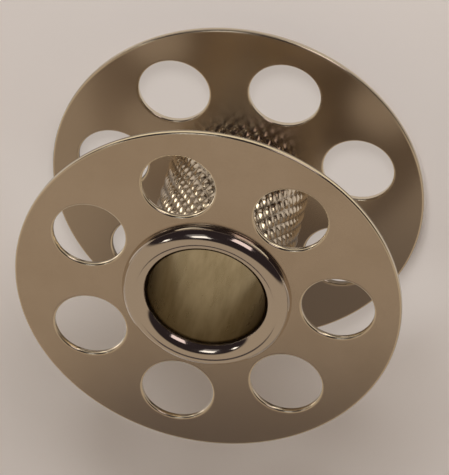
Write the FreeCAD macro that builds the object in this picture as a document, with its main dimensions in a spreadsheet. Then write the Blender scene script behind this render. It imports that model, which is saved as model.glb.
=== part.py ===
# Sewing machine bobbin: a knurled hub tube with its ends rolled over two pierced sheet-metal discs.
# Millimetres. +Z runs up the bore, and the origin is under the middle of the bead that the bobbin stands on.
import FreeCAD
import Part
import Sketcher
import math
import os

doc = FreeCAD.newDocument("bobbin")

# The sheet holds every driving size. Lengths are in millimetres and angles in degrees.
sheet = doc.addObject("Spreadsheet::Sheet", "sheet")
SIZES = [
    ("flange_diameter", 20.3, "outside diameter of both discs"),
    ("flange_thickness", 0.35, "sheet that the discs are pressed from"),
    ("edge_break", 0.1, "sharp corner taken off the disc's rim and holes"),
    ("hole_diameter", 3.8, "round holes in each disc"),
    ("hole_count", 7, "holes in each disc"),
    ("rim_margin", 1.4, "metal between a hole and the rim"),
    ("lower_turn", 17.5, "how far the lower disc's holes are turned from the upper disc's"),
    ("barrel_length", 9.0, "barrel between the discs, which is the winding width"),
    ("bore_diameter", 6.1, "hole for the winder's spindle and the case's post"),
    ("spigot_wall", 0.38, "wall of the turned-down tube that is rolled over each disc"),
    ("shoulder", 0.47, "step from the spigot up to the knurl's crests, which the disc rests on"),
    ("bead_radius", 0.7, "outside radius of the roll, seen in section"),
    ("knurl_count", 36, "diamonds round the barrel"),
    ("knurl_rows", 15, "half-diamonds along the barrel, so that the grooves run at about 30 degrees"),
    ("knurl_depth", 0.12, "height of the diamonds"),
]
for row, (alias, value, meaning) in enumerate(SIZES, start=1):
    sheet.set(f"A{row}", meaning)
    sheet.set(f"B{row}", str(value))
    sheet.setAlias(f"B{row}", alias)
doc.recompute()

# The bead is half round and sits on the disc's outer face, so that face is one bead radius above the ground.
LOWER_SEAT = "sheet.bead_radius + sheet.flange_thickness"
UPPER_SEAT = "sheet.bead_radius + sheet.flange_thickness + sheet.barrel_length"
MIDDLE = "sheet.bead_radius + sheet.flange_thickness + sheet.barrel_length / 2"
SPIGOT_RADIUS = "sheet.bore_diameter / 2 + sheet.spigot_wall"
HOLE_REACH = "sheet.flange_diameter / 2 - sheet.rim_margin - sheet.hole_diameter / 2"

# How a sketch names the points of a line or arc, and its own axes.
START, END, CENTRE = 1, 2, 3
SKETCH_AXES = -1
UP = FreeCAD.Vector(0, 0, 1)
WHOLE_TURN = 360
SAME = 1e-6


def plane(body, role):
    """Return one of the body's own origin planes or axes."""
    return next(feature for feature in body.Origin.OriginFeatures if feature.Role == role)


def new_sketch(body, name, role):
    """Start a sketch on one of the body's origin planes."""
    sketch = body.newObject("Sketcher::SketchObject", name)
    sketch.AttachmentSupport = [(plane(body, role), "")]
    sketch.MapMode = "FlatFace"
    return sketch


def bind(sketch, expression, *constraint):
    """Add a dimension to the sketch and bind it to the sheet."""
    index = sketch.addConstraint(Sketcher.Constraint(*constraint))
    sketch.setExpression(f"Constraints[{index}]", expression)


def make_tube():
    """Revolve the hub's tube: the upper half with its rolled end, then its mirror image below.

    The spigot's wall rises past the disc, rolls outwards and lands on the disc's outer face. What is left inside
    the roll is a hollow with two straight sides.
    """
    bore_radius = sheet.bore_diameter / 2
    bead = sheet.bead_radius
    wall = sheet.spigot_wall
    face_height = sheet.barrel_length / 2 + sheet.flange_thickness
    bead_centre = FreeCAD.Vector(bore_radius + bead, face_height, 0)
    bore_foot = FreeCAD.Vector(bore_radius, 0, 0)
    bore_top = FreeCAD.Vector(bore_radius, face_height, 0)
    tip_outside = FreeCAD.Vector(bore_radius + 2 * bead, face_height, 0)
    tip_inside = FreeCAD.Vector(bore_radius + 2 * bead - wall, face_height, 0)
    hollow_peak = FreeCAD.Vector(bore_radius + bead, face_height + bead - wall, 0)
    spigot_top = FreeCAD.Vector(bore_radius + wall, face_height, 0)
    spigot_foot = FreeCAD.Vector(bore_radius + wall, 0, 0)

    body = doc.addObject("PartDesign::Body", "tube")
    sketch = new_sketch(body, "tube_section", "XZ_Plane")
    bore = sketch.addGeometry(Part.LineSegment(bore_foot, bore_top))
    roll = sketch.addGeometry(Part.ArcOfCircle(Part.Circle(bead_centre, UP, bead), 0, math.pi))
    tip = sketch.addGeometry(Part.LineSegment(tip_outside, tip_inside))
    hollow_out = sketch.addGeometry(Part.LineSegment(tip_inside, hollow_peak))
    hollow_in = sketch.addGeometry(Part.LineSegment(hollow_peak, spigot_top))
    spigot = sketch.addGeometry(Part.LineSegment(spigot_top, spigot_foot))
    middle = sketch.addGeometry(Part.LineSegment(spigot_foot, bore_foot))
    for first, first_point, second, second_point in [
        (bore, END, roll, END),
        (roll, START, tip, START),
        (tip, END, hollow_out, START),
        (hollow_out, END, hollow_in, START),
        (hollow_in, END, spigot, START),
        (spigot, END, middle, START),
        (middle, END, bore, START),
    ]:
        sketch.addConstraint(Sketcher.Constraint("Coincident", first, first_point, second, second_point))
    sketch.addConstraint(Sketcher.Constraint("Vertical", bore))
    sketch.addConstraint(Sketcher.Constraint("Vertical", spigot))
    sketch.addConstraint(Sketcher.Constraint("Horizontal", tip))
    sketch.addConstraint(Sketcher.Constraint("Horizontal", roll, CENTRE, bore, END))
    sketch.addConstraint(Sketcher.Constraint("Horizontal", roll, CENTRE, spigot, START))
    sketch.addConstraint(Sketcher.Constraint("Vertical", roll, CENTRE, hollow_out, END))
    sketch.addConstraint(Sketcher.Constraint("Horizontal", roll, CENTRE, tip, START))
    sketch.addConstraint(Sketcher.Constraint("PointOnObject", middle, START, SKETCH_AXES))
    sketch.addConstraint(Sketcher.Constraint("PointOnObject", middle, END, SKETCH_AXES))
    bind(sketch, "sheet.bore_diameter / 2", "DistanceX", SKETCH_AXES, START, bore, START, bore_radius)
    bind(
        sketch,
        "sheet.barrel_length / 2 + sheet.flange_thickness",
        "DistanceY",
        SKETCH_AXES,
        START,
        bore,
        END,
        face_height,
    )
    bind(sketch, "sheet.bead_radius", "Radius", roll, bead)
    bind(sketch, "sheet.spigot_wall", "DistanceX", bore, START, spigot, END, wall)
    bind(sketch, "sheet.spigot_wall", "DistanceX", tip, END, tip, START, wall)
    bind(
        sketch,
        "sheet.bead_radius - sheet.spigot_wall",
        "DistanceY",
        roll,
        CENTRE,
        hollow_out,
        END,
        bead - wall,
    )
    doc.recompute()
    half = body.newObject("PartDesign::Revolution", "tube_upper_half")
    half.Profile = sketch
    half.ReferenceAxis = (sketch, ["V_Axis"])
    half.Angle = WHOLE_TURN
    doc.recompute()
    whole = body.newObject("PartDesign::Mirrored", "tube_lower_half")
    whole.Originals = [half]
    whole.MirrorPlane = (plane(body, "XY_Plane"), [""])
    body.Tip = whole
    body.setExpression("Placement.Base.z", MIDDLE)
    doc.recompute()
    return body


def make_knurl():
    """Build the barrel's knurl as a ring of pyramids between crossing helical grooves.

    Points lie on a grid of columns round the barrel and rows along it. Every second point, as on a chessboard,
    is a diamond's peak. The rest are where two grooves cross. Each grid cell folds along the groove between
    its two low points.
    """
    columns = 2 * int(sheet.knurl_count)
    rows = int(sheet.knurl_rows)
    inside = sheet.bore_diameter / 2 + sheet.spigot_wall
    crest = inside + sheet.shoulder
    root = crest - sheet.knurl_depth
    bottom = sheet.bead_radius + sheet.flange_thickness

    def point(column, row):
        angle = 2 * math.pi * (column % columns) / columns
        radius = crest if (column + row) % 2 == 0 else root
        height = bottom + sheet.barrel_length * row / rows
        return FreeCAD.Vector(radius * math.cos(angle), radius * math.sin(angle), height)

    faces = []
    for column in range(columns):
        for row in range(rows):
            near_low = point(column, row)
            near_high = point(column, row + 1)
            far_low = point(column + 1, row)
            far_high = point(column + 1, row + 1)
            if (column + row) % 2 == 0:
                triangles = [(near_low, far_low, near_high), (far_low, far_high, near_high)]
            else:
                triangles = [(near_low, far_low, far_high), (near_low, far_high, near_high)]
            for corners in triangles:
                faces.append(Part.Face(Part.makePolygon([*corners, corners[0]])))

    # The ends are flat rings, toothed outside and round inside. The discs rest on them.
    for row in (0, rows):
        outline = [point(column, row) for column in range(columns)]
        toothed = Part.Wire(Part.makePolygon([*outline, outline[0]]))
        ring_centre = FreeCAD.Vector(0, 0, outline[0].z)
        round_edge = Part.Wire(Part.makeCircle(inside, ring_centre, UP))
        faces.append(Part.Face([toothed, round_edge]))
    inner_wall = Part.makeCylinder(inside, sheet.barrel_length, FreeCAD.Vector(0, 0, bottom), UP).Faces[0]
    faces.append(inner_wall)
    shell = Part.makeShell(faces)
    shell.sewShape()
    solid = Part.makeSolid(shell)
    solid.fix(SAME, SAME, SAME)
    if solid.Volume < 0:
        solid.reverse()
    feature = doc.addObject("Part::Feature", "knurl")
    feature.Shape = solid
    return feature


def make_flange(label):
    """Press one disc: blank, one hole, the ring of holes, then the broken edges. Its outer face points up."""
    rim_radius = sheet.flange_diameter / 2
    centre_radius = sheet.bore_diameter / 2 + sheet.spigot_wall
    hole_radius = sheet.hole_diameter / 2
    hole_reach = rim_radius - sheet.rim_margin - hole_radius

    body = doc.addObject("PartDesign::Body", label)
    body.Label = label
    outline = new_sketch(body, f"{label}_outline", "XY_Plane")
    origin = FreeCAD.Vector(0, 0, 0)
    rim = outline.addGeometry(Part.Circle(origin, UP, rim_radius))
    centre = outline.addGeometry(Part.Circle(origin, UP, centre_radius))
    for circle in (rim, centre):
        outline.addConstraint(Sketcher.Constraint("Coincident", circle, CENTRE, SKETCH_AXES, START))
    bind(outline, "sheet.flange_diameter / 2", "Radius", rim, rim_radius)
    bind(outline, SPIGOT_RADIUS, "Radius", centre, centre_radius)
    doc.recompute()
    blank = body.newObject("PartDesign::Pad", f"{label}_blank")
    blank.Profile = outline
    blank.setExpression("Length", "sheet.flange_thickness")
    doc.recompute()

    pierced = new_sketch(body, f"{label}_hole_outline", "XY_Plane")
    hole = pierced.addGeometry(Part.Circle(FreeCAD.Vector(hole_reach, 0, 0), UP, hole_radius))
    pierced.addConstraint(Sketcher.Constraint("PointOnObject", hole, CENTRE, SKETCH_AXES))
    bind(pierced, HOLE_REACH, "DistanceX", SKETCH_AXES, START, hole, CENTRE, hole_reach)
    bind(pierced, "sheet.hole_diameter / 2", "Radius", hole, hole_radius)
    doc.recompute()
    pocket = body.newObject("PartDesign::Pocket", f"{label}_hole")
    pocket.Profile = pierced
    pocket.Type = "ThroughAll"
    pocket.Midplane = True
    doc.recompute()
    if pocket.Shape.Volume >= blank.Shape.Volume:
        raise RuntimeError(f"{label}: the hole cut nothing")

    ring = body.newObject("PartDesign::PolarPattern", f"{label}_hole_ring")
    ring.Originals = [pocket]
    ring.Axis = (plane(body, "Z_Axis"), [""])
    ring.Angle = WHOLE_TURN
    ring.setExpression("Occurrences", "sheet.hole_count")
    body.Tip = ring
    doc.recompute()

    # The rim is broken on both faces, and each hole on the outer face, where the punch drew the sheet in.
    sharp = []
    for number, edge in enumerate(ring.Shape.Edges, start=1):
        if not isinstance(edge.Curve, Part.Circle):
            continue
        off_axis = math.hypot(edge.Curve.Center.x, edge.Curve.Center.y)
        on_rim = off_axis < SAME and math.isclose(edge.Curve.Radius, rim_radius, abs_tol=SAME)
        on_hole = math.isclose(off_axis, hole_reach, abs_tol=SAME)
        outside = math.isclose(edge.Curve.Center.z, sheet.flange_thickness, abs_tol=SAME)
        if on_rim or (on_hole and outside):
            sharp.append(f"Edge{number}")
    broken = body.newObject("PartDesign::Chamfer", f"{label}_edges")
    broken.Base = (ring, sharp)
    broken.setExpression("Size", "sheet.edge_break")
    body.Tip = broken
    doc.recompute()
    return body


# Hub: the tube and its knurl are one piece of metal.
tube = make_tube()
knurl = make_knurl()
knurled_hub = doc.addObject("Part::Fuse", "knurled_hub")
knurled_hub.Label = "knurled_hub"
knurled_hub.Base = tube
knurled_hub.Tool = knurl
doc.recompute()

# Upper disc: seated on the barrel's upper shoulder, with a hole on +X.
upper_flange = make_flange("upper_flange")
upper_flange.setExpression("Placement.Base.z", UPPER_SEAT)

# Lower disc: turned over about X, so that its outer face is down, and then turned round the bore.
lower_flange = make_flange("lower_flange")
lower_flange.setExpression(
    "Placement", f"placement(vector(0; 0; {LOWER_SEAT}); rotation(sheet.lower_turn; 0; 180))"
)
doc.recompute()

for item in doc.Objects:
    if "Invalid" in item.State or "Error" in item.State:
        raise RuntimeError(f"{item.Label} didn't build: {item.State}")
os.makedirs("parts", exist_ok=True)
for piece in (knurled_hub, upper_flange, lower_flange):
    shape = piece.Shape
    if shape.isNull() or not shape.isValid() or len(shape.Solids) != 1:
        raise RuntimeError(f"{piece.Label} isn't one sound solid")
    shape.exportStep(f"parts/{piece.Label}.step")
    print(f"{piece.Label}: {shape.Volume:.3f} cubic mm, {len(shape.Faces)} faces")
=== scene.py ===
# A metal sewing machine bobbin, standing on its end on a pale table top.
import bpy
import numpy as np
from mathutils import Matrix


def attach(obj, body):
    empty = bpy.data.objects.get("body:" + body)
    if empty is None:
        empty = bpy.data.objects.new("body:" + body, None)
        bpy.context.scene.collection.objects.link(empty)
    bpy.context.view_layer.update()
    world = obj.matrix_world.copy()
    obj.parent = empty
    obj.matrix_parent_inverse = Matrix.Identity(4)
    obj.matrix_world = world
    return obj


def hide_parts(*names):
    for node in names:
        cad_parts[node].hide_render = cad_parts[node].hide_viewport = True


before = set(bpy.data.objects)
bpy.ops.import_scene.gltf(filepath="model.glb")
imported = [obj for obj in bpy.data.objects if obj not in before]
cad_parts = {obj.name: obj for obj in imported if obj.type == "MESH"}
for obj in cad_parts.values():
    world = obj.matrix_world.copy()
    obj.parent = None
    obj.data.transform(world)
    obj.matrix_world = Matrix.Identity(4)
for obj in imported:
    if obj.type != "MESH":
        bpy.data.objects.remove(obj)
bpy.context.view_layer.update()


# Hub.
# The hub is one turned steel tube, nickel plated. Its barrel is rolled into a diamond knurl that grips the
# thread, and each thin end is rolled outwards over a disc into a round bead, which polishes it bright.
# The diamonds are worn round, grime and painted shade darken the grooves between them, and the bore is
# stained.
MM = 0.001
BORE_RADIUS = 3.05
SPIGOT_WALL = 0.38
SPIGOT_RADIUS = BORE_RADIUS + SPIGOT_WALL
BEAD_RADIUS = 0.70
BEAD_CENTRE = BORE_RADIUS + BEAD_RADIUS
BEAD_HOLLOW = BEAD_RADIUS - SPIGOT_WALL
BEAD_TIP_ROUND = 0.06
BARREL_LENGTH = 9.0
DISC_THICKNESS = 0.35
LOWER_FACE = BEAD_RADIUS
BARREL_FOOT = LOWER_FACE + DISC_THICKNESS
BARREL_TOP = BARREL_FOOT + BARREL_LENGTH
UPPER_FACE = BARREL_TOP + DISC_THICKNESS
KNURL_CREST = 3.89
KNURL_DEPTH = 0.10
KNURL_ROOT = KNURL_CREST - KNURL_DEPTH
KNURL_COUNT = 36
KNURL_LENGTH = 1.2
KNURL_WEAR = 1.8
KNURL_LEAST_HEIGHT = 0.88
KNURL_SEED = 36
HUB_COLUMNS = KNURL_COUNT * 12
BARREL_STEPS = 90
ROLL_POINTS = 34
TIP_POINTS = 5
BORE_POINTS = 12


def knurl_radius(angle, z):
    """Two families of grooves cross the barrel at equal and opposite slants and leave diamonds between
    them. With u and v as the distance from a diamond's middle towards each family, from 0 to 1 at the
    groove, the height is (1 - u ** KNURL_WEAR) * (1 - v ** KNURL_WEAR), and each diamond's height differs
    a little."""
    around = angle * KNURL_COUNT / (2 * np.pi)
    along = (z - BARREL_FOOT) / KNURL_LENGTH
    right, left = around + along, around - along
    to_right = 2 * np.abs(right - np.round(right))
    to_left = 2 * np.abs(left - np.round(left))
    height = (1 - to_right ** KNURL_WEAR) * (1 - to_left ** KNURL_WEAR)
    spread = np.random.default_rng(KNURL_SEED)
    worn = spread.uniform(KNURL_LEAST_HEIGHT, 1.0, (KNURL_COUNT, KNURL_COUNT))
    row = np.round(right).astype(int) % KNURL_COUNT
    column = np.round(left).astype(int) % KNURL_COUNT
    return KNURL_ROOT + KNURL_DEPTH * height * worn[row, column]


def bead_section(face, side):
    """One rolled end as a line of (radius, z) points, from the spigot outwards and over the top to the bore:
    the V hollow inside the roll, the tip that presses on the disc with a small round, and then half a
    circle."""
    half = np.linspace(np.arcsin(BEAD_TIP_ROUND / BEAD_RADIUS), np.pi, ROLL_POINTS)
    roll = np.stack([BEAD_CENTRE + BEAD_RADIUS * np.cos(half), face + side * BEAD_RADIUS * np.sin(half)], 1)
    turn = np.linspace(-np.pi / 2, 0, TIP_POINTS)[:-1]
    tip_radius = roll[0, 0] - BEAD_TIP_ROUND * (1 - np.cos(turn))
    tip = np.stack([tip_radius, face + side * BEAD_TIP_ROUND * (1 + np.sin(turn))], 1)
    peak = face + side * BEAD_HOLLOW
    hollow = np.array([(SPIGOT_RADIUS, face), (BEAD_CENTRE, peak), (BEAD_CENTRE + BEAD_HOLLOW, face)])
    return np.concatenate([hollow, tip, roll])


def points_of(x, y, z):
    """One array of points, from three arrays of coordinates that are first spread to one shape."""
    return np.stack(np.broadcast_arrays(x, y, z), -1)


def hub_grid():
    """The tube's closed section carried round the axis: point = (radius cos angle, radius sin angle, z).
    The section goes up the knurled barrel, over the upper bead, down the bore and over the lower bead."""
    angle = (np.arange(HUB_COLUMNS) * 2 * np.pi / HUB_COLUMNS)[:, None]
    barrel_z = np.linspace(BARREL_FOOT, BARREL_TOP, BARREL_STEPS + 1)
    bore_z = np.linspace(UPPER_FACE, LOWER_FACE, BORE_POINTS)[1:-1]
    seat = np.array([(SPIGOT_RADIUS, BARREL_TOP)])
    upper = bead_section(UPPER_FACE, 1.0)
    bore = np.stack([np.full_like(bore_z, BORE_RADIUS), bore_z], 1)
    lower = bead_section(LOWER_FACE, -1.0)[::-1]
    foot = np.array([(SPIGOT_RADIUS, BARREL_FOOT)])
    plain = np.concatenate([seat, upper, bore, lower, foot])
    plain_radius = np.broadcast_to(plain[:, 0], (HUB_COLUMNS, len(plain)))
    radius = np.concatenate([knurl_radius(angle, barrel_z), plain_radius], 1)
    z = np.concatenate([barrel_z, plain[:, 1]])
    return points_of(radius * np.cos(angle), radius * np.sin(angle), z) * MM


def skin(grid, round_rows=False, round_columns=False):
    """Four-sided faces between neighbouring points of a grid. A round direction joins its last line to its
    first."""
    rows, columns = grid.shape[:2]
    index = np.arange(rows * columns).reshape(rows, columns)
    index = np.vstack([index, index[:1]]) if round_rows else index
    index = np.hstack([index, index[:, :1]]) if round_columns else index
    quads = np.stack([index[:-1, :-1], index[1:, :-1], index[1:, 1:], index[:-1, 1:]], -1)
    return grid.reshape(-1, 3), quads.reshape(-1, 4)


def new_piece(name, points, quads, finish, crease=30):
    """A smooth-shaded mesh object of these points and faces. Edges that turn by more than the crease angle,
    in degrees, are left sharp."""
    mesh = bpy.data.meshes.new(name)
    mesh.from_pydata(points.tolist(), [], quads.tolist())
    mesh.polygons.foreach_set("use_smooth", np.ones(len(quads), bool))
    mesh.set_sharp_from_angle(angle=np.radians(crease))
    mesh.materials.append(finish)
    mesh.update()
    piece = bpy.data.objects.new(name, mesh)
    bpy.context.scene.collection.objects.link(piece)
    return piece


class Field:
    """A socket that carries a number, colour or vector over a surface. Operators add Math nodes, and node()
    adds any other."""

    def __init__(self, tree, socket=None):
        self.tree = tree
        self.socket = socket

    def feed(self, socket, value):
        """Links a field to a socket, or sets a plain value there."""
        if isinstance(value, Field):
            self.tree.links.new(value.socket, socket)
        else:
            socket.default_value = value

    def node(self, kind, settings, sockets, output=0):
        """A new node, with its settings made first and then its sockets fed, as the field of one output."""
        made = self.tree.nodes.new(kind)
        for name, value in settings.items():
            setattr(made, name, value)
        for name, value in sockets.items():
            self.feed(made.inputs[name], value)
        return Field(self.tree, made.outputs[output])

    def other(self, output):
        """Another output of the same node."""
        return Field(self.tree, self.socket.node.outputs[output])

    def maths(self, operation, first, second):
        """A number from two others."""
        return self.node("ShaderNodeMath", {"operation": operation}, {0: first, 1: second})

    def __add__(self, value):
        return self.maths("ADD", self, value)

    def __radd__(self, value):
        return self.maths("ADD", value, self)

    def __sub__(self, value):
        return self.maths("SUBTRACT", self, value)

    def __rsub__(self, value):
        return self.maths("SUBTRACT", value, self)

    def __mul__(self, value):
        return self.maths("MULTIPLY", self, value)

    def __rmul__(self, value):
        return self.maths("MULTIPLY", value, self)

    def measure(self, operation, vector=(0.0, 0.0, 0.0)):
        """A number from this vector and another: its length, their dot product or their distance."""
        return self.node("ShaderNodeVectorMath", {"operation": operation}, {0: self, 1: vector}, 1)

    def rise(self, low, high):
        """0 below low, 1 above high, with a smooth step between."""
        sockets = {"Value": self, "From Min": low, "From Max": high}
        return self.node("ShaderNodeMapRange", {"interpolation_type": "SMOOTHSTEP"}, sockets)

    def colours(self, none, full):
        """Mixes two colours by this field."""
        return self.node("ShaderNodeMix", {"data_type": "RGBA"}, {0: self, 6: none, 7: full}, 2)

    def stretched(self, scale, turn):
        """A place scaled and then turned about the axis, for a grain that runs one way."""
        sockets = {"Vector": self, "Rotation": (0.0, 0.0, turn), "Scale": scale}
        return self.node("ShaderNodeMapping", {}, sockets)

    def grain(self, scale, detail):
        """Noise from 0 to 1, with its cell size in millimetres as one over the scale."""
        sockets = {"Vector": self, "Scale": scale, "Detail": detail, "Roughness": 0.6}
        return self.node("ShaderNodeTexNoise", {}, sockets)

    def dents(self, strength, depth):
        """A bent normal, from this field as a height and a depth in millimetres."""
        sockets = {"Strength": strength, "Distance": depth * MM, "Height": self}
        return self.node("ShaderNodeBump", {}, sockets)


def new_finish(name, metallic=1.0):
    """A finish with no nodes but its shader, and the place on the piece in millimetres."""
    finish = bpy.data.materials.new(name)
    finish.use_nodes = True
    shader = finish.node_tree.nodes["Principled BSDF"]
    shader.inputs["Metallic"].default_value = metallic
    place = Field(finish.node_tree).node("ShaderNodeTexCoord", {}, {}, 3)
    place = place.node("ShaderNodeVectorMath", {"operation": "SCALE"}, {0: place, "Scale": 1 / MM})
    return finish, shader, place


NICKEL_BRIGHT = (0.64, 0.575, 0.50, 1.0)
NICKEL_BORE = (0.34, 0.285, 0.20, 1.0)
NICKEL_STAIN = (0.25, 0.205, 0.135, 1.0)
NICKEL_KNURL = (0.82, 0.73, 0.585, 1.0)
GROOVE_GRIME_AND_SHADE = (0.16, 0.125, 0.09, 1.0)
BORE_SKIN = (BORE_RADIUS + 0.02, BORE_RADIUS + 0.13)
BARREL_SKIN = (3.60, 3.66)
BARREL_FADE = 0.05
GRIME_AND_SHADE_HEIGHT = 0.04
GRIME_AND_SHADE_SPECKS = (0.25, 0.7)
GRIME_ROUGH = 0.25
STAIN_STREAKS = (0.3, 0.7)
STREAK_SCALE = (1.3, 1.3, 0.3)
CLOUD_SCALE = 0.6
SPECK_SCALE = 9.0
STREAK_RELIEF = 0.6
SPECK_RELIEF = 0.4

hub_finish, shader, place = new_finish("hub_nickel")
height = place.node("ShaderNodeSeparateXYZ", {}, {0: place}, 2)
flat = place.node("ShaderNodeVectorMath", {"operation": "MULTIPLY"}, {0: place, 1: (1.0, 1.0, 0.0)})
radius = flat.measure("LENGTH")
streak = place.stretched(STREAK_SCALE, turn=0.0).grain(1.0, detail=3.0)
cloud = place.grain(CLOUD_SCALE, detail=3.0)
speck = place.grain(SPECK_SCALE, detail=2.0)
in_bore = 1 - radius.rise(*BORE_SKIN)
above_foot = height.rise(BARREL_FOOT - BARREL_FADE, BARREL_FOOT)
below_top = 1 - height.rise(BARREL_TOP, BARREL_TOP + BARREL_FADE)
on_barrel = above_foot * below_top * radius.rise(*BARREL_SKIN)
# Specks at the bottom of the grooves are darkened: partly grime, partly painted shade in the grooves.
in_groove = on_barrel * (1 - radius.rise(KNURL_ROOT, KNURL_ROOT + GRIME_AND_SHADE_HEIGHT))
grime_and_shade = in_groove * speck.rise(*GRIME_AND_SHADE_SPECKS)
bore_metal = streak.rise(*STAIN_STREAKS).colours(NICKEL_STAIN, NICKEL_BORE)
metal = in_bore.colours(NICKEL_BRIGHT, bore_metal)
metal = on_barrel.colours(metal, NICKEL_KNURL)
metal = grime_and_shade.colours(metal, GROOVE_GRIME_AND_SHADE)
place.feed(shader.inputs["Base Color"], metal)
bead_rough = 0.07 + 0.05 * cloud
bore_rough = 0.14 + 0.10 * streak
knurl_rough = 0.03 + 0.06 * speck
rough = bead_rough + in_bore * bore_rough + on_barrel * knurl_rough + grime_and_shade * GRIME_ROUGH
place.feed(shader.inputs["Roughness"], rough)
relief = in_bore * streak * STREAK_RELIEF + on_barrel * speck * SPECK_RELIEF
place.feed(shader.inputs["Normal"], relief.dents(strength=0.25, depth=0.02))

hub = new_piece("hub_tube", *skin(hub_grid(), True, True), hub_finish, crease=50)
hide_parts("knurled_hub")
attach(hub, "root")


# Discs.
# Each disc is punched from sheet steel, with a centre hole and seven round holes, then tumbled and nickel
# plated, so its faces are satin and its edges are rubbed bright, their paler colour partly a painted
# highlight.
# The rolled beads hold both discs against the barrel's ends. The inner faces are painted darker than the
# outer ones, as painted shade between the discs.
DISC_RADIUS = 10.15
CENTRE_HOLE = SPIGOT_RADIUS
HOLE_COUNT = 7
HOLE_RADIUS = 1.9
HOLE_CIRCLE = 6.85
EDGE_ROUND = 0.11
LOWER_TURN = 17.5
RIM_POINTS = 31
SIDE_POINTS = 19
CENTRE_POINTS = 11
ROUND_POINTS = 6
FACE_SHARES = np.array([1.0, 0.985, 0.8, 0.55, 0.3, 0.12, 0.03])
SAME_PLACE = 1e-5
SAME_LEVEL = 1e-7


def from_hole(direction, reach):
    """The x and y of points at a direction and a distance from the middle of the hole on +X."""
    return HOLE_CIRCLE + reach * np.cos(direction), reach * np.sin(direction)


def sector_rays():
    """Directions from a hole's middle, and how far each goes to the edge of the hole's share of the disc:
    out to the rim, back along the line halfway to the next hole, across the centre hole's arc, and along
    the line on the other side. With them come the angles about the axis of the rim's points, and the x and
    y of the centre arc's points."""
    half = np.pi / HOLE_COUNT
    rim = DISC_RADIUS - EDGE_ROUND
    out = np.arctan2(rim * np.sin(half), rim * np.cos(half) - HOLE_CIRCLE)
    back = np.arctan2(CENTRE_HOLE * np.sin(half), CENTRE_HOLE * np.cos(half) - HOLE_CIRCLE)
    to_rim = np.linspace(-out, out, RIM_POINTS)
    to_side = np.linspace(out, back, SIDE_POINTS)
    to_centre = np.linspace(back, 2 * np.pi - back, CENTRE_POINTS)
    rim_reach = np.sqrt(rim ** 2 - (HOLE_CIRCLE * np.sin(to_rim)) ** 2) - HOLE_CIRCLE * np.cos(to_rim)
    side_reach = HOLE_CIRCLE * np.sin(half) / np.sin(to_side - half)
    half_chord = np.sqrt(CENTRE_HOLE ** 2 - (HOLE_CIRCLE * np.sin(to_centre)) ** 2)
    centre_reach = -HOLE_CIRCLE * np.cos(to_centre) - half_chord
    direction = np.concatenate([to_rim[:-1], to_side[:-1], to_centre[:-1], 2 * np.pi - to_side[:0:-1]])
    reach = np.concatenate([rim_reach[:-1], side_reach[:-1], centre_reach[:-1], side_reach[:0:-1]])
    rim_x, rim_y = from_hole(to_rim, rim_reach)
    return direction, reach, np.arctan2(rim_y, rim_x), from_hole(to_centre, centre_reach)


def rounded_edge(low, high):
    """How far in from a cut edge, and how high, its section runs: a quarter round, the cut wall, and a
    quarter round."""
    turn = np.linspace(0, np.pi / 2, ROUND_POINTS)
    inset = EDGE_ROUND * (1 - np.sin(turn))
    fall = EDGE_ROUND * (1 - np.cos(turn))
    return np.concatenate([inset, inset[::-1]]), np.concatenate([high - fall, low + fall[::-1]])


def spun(points, turns):
    """The same points turned about the axis by each angle a: (x cos a - y sin a, x sin a + y cos a, z)."""
    x, y, z = points.T
    cos, sin = np.cos(turns)[:, None], np.sin(turns)[:, None]
    return points_of(x * cos - y * sin, x * sin + y * cos, z)


def pressed_disc(low, high):
    """A disc with holes, from three grids that meet along shared points: a sector that runs from its edge,
    over a hole's rounded edges and wall, to its edge on the other face; its stretch of the rounded rim; and
    its stretch of the centre hole. They are turned to each hole's place, and shared points are merged."""
    direction, reach, rim_angle, (centre_x, centre_y) = sector_rays()
    inset, wall_z = rounded_edge(low, high)
    edge = HOLE_RADIUS + EDGE_ROUND
    face = edge + (reach[:, None] - edge) * FACE_SHARES
    hole = np.broadcast_to(HOLE_RADIUS + inset, (len(direction), len(inset)))
    x, y = from_hole(direction[:, None], np.concatenate([face, hole, face[:, ::-1]], 1))
    z = np.concatenate([np.full(len(FACE_SHARES), high), wall_z, np.full(len(FACE_SHARES), low)])
    across = DISC_RADIUS - inset
    rim_x, rim_y = across * np.cos(rim_angle)[:, None], across * np.sin(rim_angle)[:, None]
    levels = np.array([high, low])
    sector, sector_quads = skin(points_of(x, y, z)[::-1], True, False)
    rim, rim_quads = skin(points_of(rim_x, rim_y, wall_z)[::-1])
    centre, centre_quads = skin(points_of(centre_x[:, None], centre_y[:, None], levels)[::-1])
    share = np.concatenate([sector, rim, centre])
    quads = np.concatenate([sector_quads, rim_quads + len(sector), centre_quads + len(sector) + len(rim)])
    number = np.arange(HOLE_COUNT)
    points = spun(share, number * 2 * np.pi / HOLE_COUNT).reshape(-1, 3)
    quads = (quads + (number * len(share))[:, None, None]).reshape(-1, 4)
    rounded = np.round(points / SAME_PLACE).astype(np.int64)
    first, same = np.unique(rounded, axis=0, return_index=True, return_inverse=True)[1:]
    return points[first] * MM, same.reshape(-1)[quads]


def mark(piece, name, chosen):
    """Keeps 1 at the chosen points of a piece and 0 at the others, for its finish to read."""
    values = piece.data.attributes.new(name, "FLOAT", "POINT")
    values.data.foreach_set("value", chosen.astype(np.float32))


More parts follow.
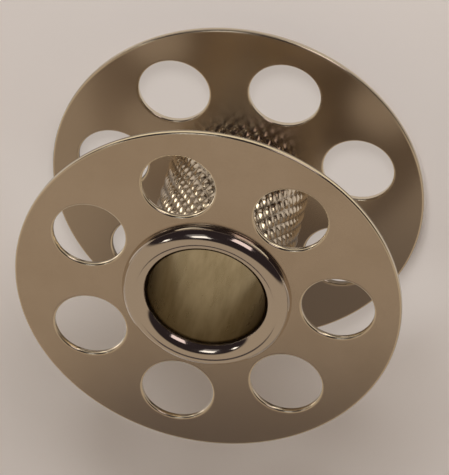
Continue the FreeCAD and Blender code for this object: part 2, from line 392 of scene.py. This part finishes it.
NICKEL_SATIN = (0.62, 0.53, 0.43, 1.0)
NICKEL_TARNISH = (0.58, 0.49, 0.39, 1.0)
NICKEL_FROST = (0.42, 0.36, 0.29, 1.0)
NICKEL_INNER_SHADE = (0.49, 0.415, 0.33, 1.0)
NICKEL_RUBBED_AND_HIGHLIT = (0.78, 0.70, 0.56, 1.0)
SMUDGE_SCALE = 0.22
SMUDGE_EDGE = (0.35, 0.7)
FROST_SCALE = 14.0
FROST_EDGE = (0.35, 0.75)
FROST_SHARE = 0.18
INNER_SHADE_SHARE = 0.7
HAIR_ONE_SCALE, HAIR_ONE_TURN = (26.0, 0.9, 1.0), 0.5
HAIR_TWO_SCALE, HAIR_TWO_TURN = (0.8, 22.0, 1.0), 0.9
SATIN_ROUGH = 0.15
SMUDGE_ROUGH = 0.05
FROST_ROUGH = 0.03
HAIR_ROUGH = 0.03
RUBBED_POLISH = 0.06
FROST_RELIEF = 0.5
HAIR_RELIEF = 0.35

disc_finish, shader, place = new_finish("disc_nickel")
rubbed_and_highlit = place.node("ShaderNodeAttribute", {"attribute_name": "rubbed_and_highlit"}, {}, 2)
inner = place.node("ShaderNodeAttribute", {"attribute_name": "inner"}, {}, 2)
smudge = place.grain(SMUDGE_SCALE, detail=4.0)
frost = place.grain(FROST_SCALE, detail=3.0)
hair_one = place.stretched(HAIR_ONE_SCALE, HAIR_ONE_TURN).grain(1.0, detail=2.0)
hair_two = place.stretched(HAIR_TWO_SCALE, HAIR_TWO_TURN).grain(1.0, detail=2.0)
hairs = hair_one + hair_two
metal = smudge.rise(*SMUDGE_EDGE).colours(NICKEL_SATIN, NICKEL_TARNISH)
metal = (frost.rise(*FROST_EDGE) * FROST_SHARE).colours(metal, NICKEL_FROST)
# Inner faces take a darker colour: painted shade between the discs.
metal = (inner * INNER_SHADE_SHARE).colours(metal, NICKEL_INNER_SHADE)
# Edges take a paler colour: partly rubbed metal, partly a painted highlight.
metal = rubbed_and_highlit.colours(metal, NICKEL_RUBBED_AND_HIGHLIT)
place.feed(shader.inputs["Base Color"], metal)
rough = SATIN_ROUGH + SMUDGE_ROUGH * smudge + FROST_ROUGH * frost + HAIR_ROUGH * hairs
place.feed(shader.inputs["Roughness"], rough - RUBBED_POLISH * rubbed_and_highlit)
relief = FROST_RELIEF * frost + HAIR_RELIEF * hairs
place.feed(shader.inputs["Normal"], relief.dents(strength=0.06, depth=0.02))

disc_places = {
    "upper_disc": ("upper_flange", BARREL_TOP, UPPER_FACE, 0.0),
    "lower_disc": ("lower_flange", BARREL_FOOT, LOWER_FACE, LOWER_TURN),
}
for name, (node, inner_face, outer_face, turn) in disc_places.items():
    points, quads = pressed_disc(min(inner_face, outer_face), max(inner_face, outer_face))
    points = spun(points, np.radians([turn]))[0]
    disc = new_piece(name, points, quads, disc_finish, crease=60)
    on_inner = np.abs(points[:, 2] - inner_face * MM) < SAME_LEVEL
    on_outer = np.abs(points[:, 2] - outer_face * MM) < SAME_LEVEL
    mark(disc, "rubbed_and_highlit", ~on_inner & ~on_outer)
    mark(disc, "inner", on_inner)
    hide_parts(node)
    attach(disc, "root")


# Table top.
# The bobbin stands on a plain pale sheet, wide enough that its edge is never in view. It is matt, with a
# faint mottle like uncoated paper. Part of its paleness is a glow that the eye and the polished metal see.
TABLE_HALF = 3.0
TABLE_LINES = 9
TABLE_PALE = (0.75, 0.71, 0.68, 1.0)
TABLE_SHADE = (0.72, 0.68, 0.65, 1.0)
MOTTLE_SCALE = 0.05
VIEWER_SIDE = (0.907, -0.420, 0.0)
LEFT_SIDE = (0.420, 0.907, 0.0)

table_finish, shader, place = new_finish("pale_paper", metallic=0.0)
shader.inputs["Roughness"].default_value = 0.9
shader.inputs["Specular IOR Level"].default_value = 0.1
mottle = place.grain(MOTTLE_SCALE, detail=3.0)
place.feed(shader.inputs["Base Color"], mottle.colours(TABLE_PALE, TABLE_SHADE))

# The metal mirrors a glow that is dim round the bobbin, behind it on the right and far in front. It is lit
# in between, below the lower disc's near holes and below the bore. Each pair is a fade, in millimetres.
TABLE_GLOW = (0.60, 0.535, 0.485, 1.0)
TABLE_DIM = (0.14, 0.112, 0.094, 1.0)
TABLE_FRONT = (0.92, 0.82, 0.63, 1.0)
TABLE_UNDER = (1.00, 0.87, 0.66, 1.0)
DIM_CENTRE = (3.63, -1.68, 0.0)
DIM_EDGE = (14.0, 17.0)
BEHIND_EDGE = (-9.0, -3.0)
RIGHT_EDGE = (-3.5, 8.0)
BEHIND_RIGHT_SHARE = 0.6
FRONT_EDGE = (8.0, 14.0)
FRONT_RING = (16.5, 18.0)
FAR_FRONT = (30.0, 45.0)
NEAR_HOLES = (-1.5, 1.5)
DISC_SHADOW = (10.6, 11.4)
BORE_EDGE = (3.2, 4.0)
seen = place.node("ShaderNodeLightPath", {}, {}, 0)
away = place.measure("LENGTH")
near = place.measure("DOT_PRODUCT", VIEWER_SIDE)
left = place.measure("DOT_PRODUCT", LEFT_SIDE)
past_dim = place.measure("DISTANCE", DIM_CENTRE).rise(*DIM_EDGE)
distant = near.rise(*FAR_FRONT)
through_holes = near.rise(*NEAR_HOLES) * (1 - away.rise(*DISC_SHADOW))
behind_right = (1 - near.rise(*BEHIND_EDGE)) * (1 - left.rise(*RIGHT_EDGE))
dim = (1 - through_holes) * (1 - past_dim * (1 - BEHIND_RIGHT_SHARE * behind_right)) + distant
in_front = near.rise(*FRONT_EDGE) * away.rise(*FRONT_RING) * (1 - distant)
under_bore = 1 - away.rise(*BORE_EDGE)
shine = (dim * (1 - seen)).colours(TABLE_GLOW, TABLE_DIM)
shine = (in_front * (1 - seen)).colours(shine, TABLE_FRONT)
shine = (under_bore * (1 - seen)).colours(shine, TABLE_UNDER)

# The eye sees an even glow, stronger below the lower disc's holes and to the disc's sides.
GLOW_TO_EYE = 0.12
GLOW_BESIDE = 0.42
GLOW_IN_HOLES = 0.60
GLOW_TO_METAL = 0.85
HOLES_EDGE = (8.6, 9.6)
BESIDE_EDGE = (12.0, 15.0)
BESIDE_BACK = (-11.5, -8.5)
BESIDE_FRONT = (-4.5, 0.0)
past_holes = away.rise(*HOLES_EDGE)
at_sides = near.rise(*BESIDE_BACK) * (1 - near.rise(*BESIDE_FRONT))
beside = past_holes * (1 - away.rise(*BESIDE_EDGE)) * at_sides
to_eye = GLOW_TO_EYE + GLOW_BESIDE * beside + GLOW_IN_HOLES * (1 - past_holes)
mirrored = seen.other("Is Glossy Ray") + seen.other("Is Transmission Ray")
glow_share = seen * to_eye + mirrored * GLOW_TO_METAL
glow = place.node("ShaderNodeEmission", {}, {"Color": shine})
lit = Field(table_finish.node_tree, shader.outputs[0])
paper = place.node("ShaderNodeMixShader", {}, {0: glow_share, 1: lit, 2: glow})
place.feed(table_finish.node_tree.nodes["Material Output"].inputs["Surface"], paper)

lines = np.linspace(-1, 1, TABLE_LINES) * TABLE_HALF
table = new_piece("table_top", *skin(points_of(lines[:, None], lines, 0.0)), table_finish)


# Light.
# A soft box hangs close behind the bobbin and fills the upper disc with warm light. On the viewer's side
# the room is dark, which draws the dark bands in the polished beads, and four lamps stand there. Another
# lamp lights the table, and three small ones stand on it and light the barrel.
WALL_WARM = (0.445, 0.360, 0.274, 1.0)
WALL_DIM = (0.075, 0.06, 0.06, 1.0)
ROOM_DARK = (0.03, 0.022, 0.024, 1.0)
DIM_WALL_SIDE = (-0.663, 0.307, 0.682)
DIM_WALL_EDGE = (0.965, 0.99)
DARK_EDGE = (-0.05, 0.10)

world = bpy.data.worlds.new("room")
world.use_nodes = True
bpy.context.scene.world = world
look = Field(world.node_tree).node("ShaderNodeTexCoord", {}, {}, 0)
wall = look.measure("DOT_PRODUCT", DIM_WALL_SIDE).rise(*DIM_WALL_EDGE).colours(WALL_WARM, WALL_DIM)
room = look.measure("DOT_PRODUCT", VIEWER_SIDE).rise(*DARK_EDGE).colours(wall, ROOM_DARK)
room = look.node("ShaderNodeLightPath", {}, {}, 0).colours(room, TABLE_GLOW)
look.feed(world.node_tree.nodes["Background"].inputs["Color"], room)


def toward(azimuth, elevation):
    """The unit direction at an azimuth round from +X and an elevation above the table, both in degrees."""
    turn, lift = np.radians(azimuth), np.radians(elevation)
    return np.array([np.cos(lift) * np.cos(turn), np.cos(lift) * np.sin(turn), np.sin(lift)])


def axes_from(azimuth, elevation):
    """The sideways, upward and backward directions of a flat thing that faces the axis from a direction."""
    back = toward(azimuth, elevation)
    side = np.cross((0.0, 0.0, 1.0), back)
    side = side / np.linalg.norm(side)
    return side, np.cross(back, side), back


def stand(name, data, centre, axes):
    """A lamp or camera at a place, turned to its sideways, upward and backward directions."""
    holder = bpy.data.objects.new(name, data)
    holder.matrix_world = Matrix.Translation(centre) @ Matrix(np.stack(axes, 1).tolist()).to_4x4()
    bpy.context.scene.collection.objects.link(holder)
    return holder


def hang_lamp(name, azimuth, elevation, centre, width, rise, radiance, beam=180.0):
    """A flat lamp that faces the bobbin, with energy = radiance * pi * area. A beam under 180 degrees is cut
    by a grid, which would raise the radiance by 1 / (1 - half / tan half), so the energy goes down by as
    much."""
    lamp = bpy.data.lights.new(name, "AREA")
    lamp.shape = "RECTANGLE"
    lamp.size, lamp.size_y = width, rise
    strength = max(radiance)
    half = np.radians(beam / 2)
    lamp.spread = 2 * half
    lamp.energy = strength * np.pi * width * rise * (1 - half / np.tan(half))
    lamp.color = [part / strength for part in radiance]
    holder = stand(name, lamp, centre, axes_from(azimuth, elevation))
    holder.visible_camera = False
    return holder


LAMP_DISTANCE = 0.4
TABLE_LAMP_DISTANCE = 0.21


def far_lamp(name, azimuth, elevation, width, rise, radiance, distance=LAMP_DISTANCE):
    """A lamp at a distance, with its width and height as angles seen from the bobbin, in degrees."""
    spans = [2 * distance * np.tan(np.radians(angle / 2)) for angle in (width, rise)]
    return hang_lamp(name, azimuth, elevation, toward(azimuth, elevation) * distance, *spans, radiance)


far_lamp("high_lamp", azimuth=10.0, elevation=60.0, width=13.5, rise=13.5, radiance=(1.7, 1.66, 1.6))
far_lamp("dim_lamp", azimuth=10.0, elevation=46.5, width=18.0, rise=13.0, radiance=(0.25, 0.24, 0.24))
far_lamp("low_lamp", azimuth=-49.0, elevation=25.0, width=22.0, rise=25.0, radiance=(1.25, 1.05, 1.05))
far_lamp("small_lamp", azimuth=51.0, elevation=44.0, width=5.0, rise=9.0, radiance=(2.5, 2.4, 2.3))

# The table's own lamp lights matt things only, so it leaves no glints in the metal.
table_lamp = far_lamp("table_lamp", azimuth=-16.0, elevation=35.0, width=24.0, rise=15.0,
                      radiance=(24.7, 24.2, 24.0), distance=TABLE_LAMP_DISTANCE)
table_lamp.visible_glossy = False

# The three small lamps have grids and shine up between the discs. Only the metal shows them.
GRID_REACH = 0.0134
GRID_HEIGHT = 0.0019
GRID_RISE = 0.005
GRID_ELEVATION = -27.0
GRID_BEAM = 48.0
GRID_RADIANCE = (3.6, 3.3, 2.8)
grid_places = {"right_grid": (-42.0, 0.013), "left_grid": (48.0, 0.011), "far_left_grid": (88.0, 0.011)}
for name, (azimuth, width) in grid_places.items():
    centre = toward(azimuth, 0.0) * GRID_REACH + (0, 0, GRID_HEIGHT)
    grid_lamp = hang_lamp(name, azimuth, GRID_ELEVATION, centre, width, GRID_RISE, GRID_RADIANCE, GRID_BEAM)
    grid_lamp.visible_diffuse = False

# The soft box is a glowing sheet. Past its slanted lower edge the upper disc's foot mirrors a dimmer bit of
# wall. The edge dips at its left end, which the lower disc mirrors below a hole of the upper one.
BOX_AZIMUTH, BOX_ELEVATION = 155.2, 51.0
BOX_DISTANCE = 0.065
BOX_TILT = 12.0
BOX_EDGE = -0.0060
BOX_WIDTH, BOX_RISE = 0.070, 0.040
BOX_DIP = 0.014
DIP_START, DIP_END = 0.0078, 0.0108
BOX_COLUMNS, BOX_ROWS = 141, 3

box_finish = bpy.data.materials.new("soft_box")
box_finish.use_nodes = True
shader = box_finish.node_tree.nodes["Principled BSDF"]
shader.inputs["Base Color"].default_value = (0.0, 0.0, 0.0, 1.0)
shader.inputs["Specular IOR Level"].default_value = 0.0
shader.inputs["Emission Color"].default_value = WALL_WARM
shader.inputs["Emission Strength"].default_value = 1.0
side, over, back = axes_from(BOX_AZIMUTH, BOX_ELEVATION)
tilt = np.radians(BOX_TILT)
along = np.cos(tilt) * side + np.sin(tilt) * over
upward = np.cos(tilt) * over - np.sin(tilt) * side
edge = np.array([0.0, 0.0, UPPER_FACE * MM]) + back * BOX_DISTANCE + over * BOX_EDGE
wide = (np.linspace(-0.5, 0.5, BOX_COLUMNS) * BOX_WIDTH)[:, None]
share = np.linspace(0, 1, BOX_ROWS)
dip = np.clip((-wide - DIP_START) / (DIP_END - DIP_START), 0, 1) * BOX_DIP
high = share * BOX_RISE - dip * (1 - share)
sheet = edge + wide[..., None] * along + high[..., None] * upward
soft_box = new_piece("soft_box", *skin(sheet), box_finish)
soft_box.visible_camera = False


# Camera.
# A long lens, high on the viewer's side, that looks down on the upper disc. It is rolled, so that the bobbin
# seems to stand on its two rims.
CAMERA_PLACE = (96.817, -44.841, 140.382)
CAMERA_BACK = (0.5630, -0.2602, 0.7844)
CAMERA_UP = (0.7997, -0.0679, -0.5965)
FOCAL_PIXELS = 3253.97
IMAGE_HEIGHT = 475

lens = bpy.data.cameras.new("camera")
lens.sensor_width = 36.0
lens.lens = FOCAL_PIXELS * lens.sensor_width / IMAGE_HEIGHT
lens.clip_start = 0.01
back = np.array(CAMERA_BACK) / np.linalg.norm(CAMERA_BACK)
right = np.cross(CAMERA_UP, back)
right = right / np.linalg.norm(right)
camera = stand("camera", lens, np.array(CAMERA_PLACE) * MM, (right, np.cross(back, right), back))
bpy.context.scene.camera = camera
bpy.context.scene.view_settings.view_transform = "Standard"
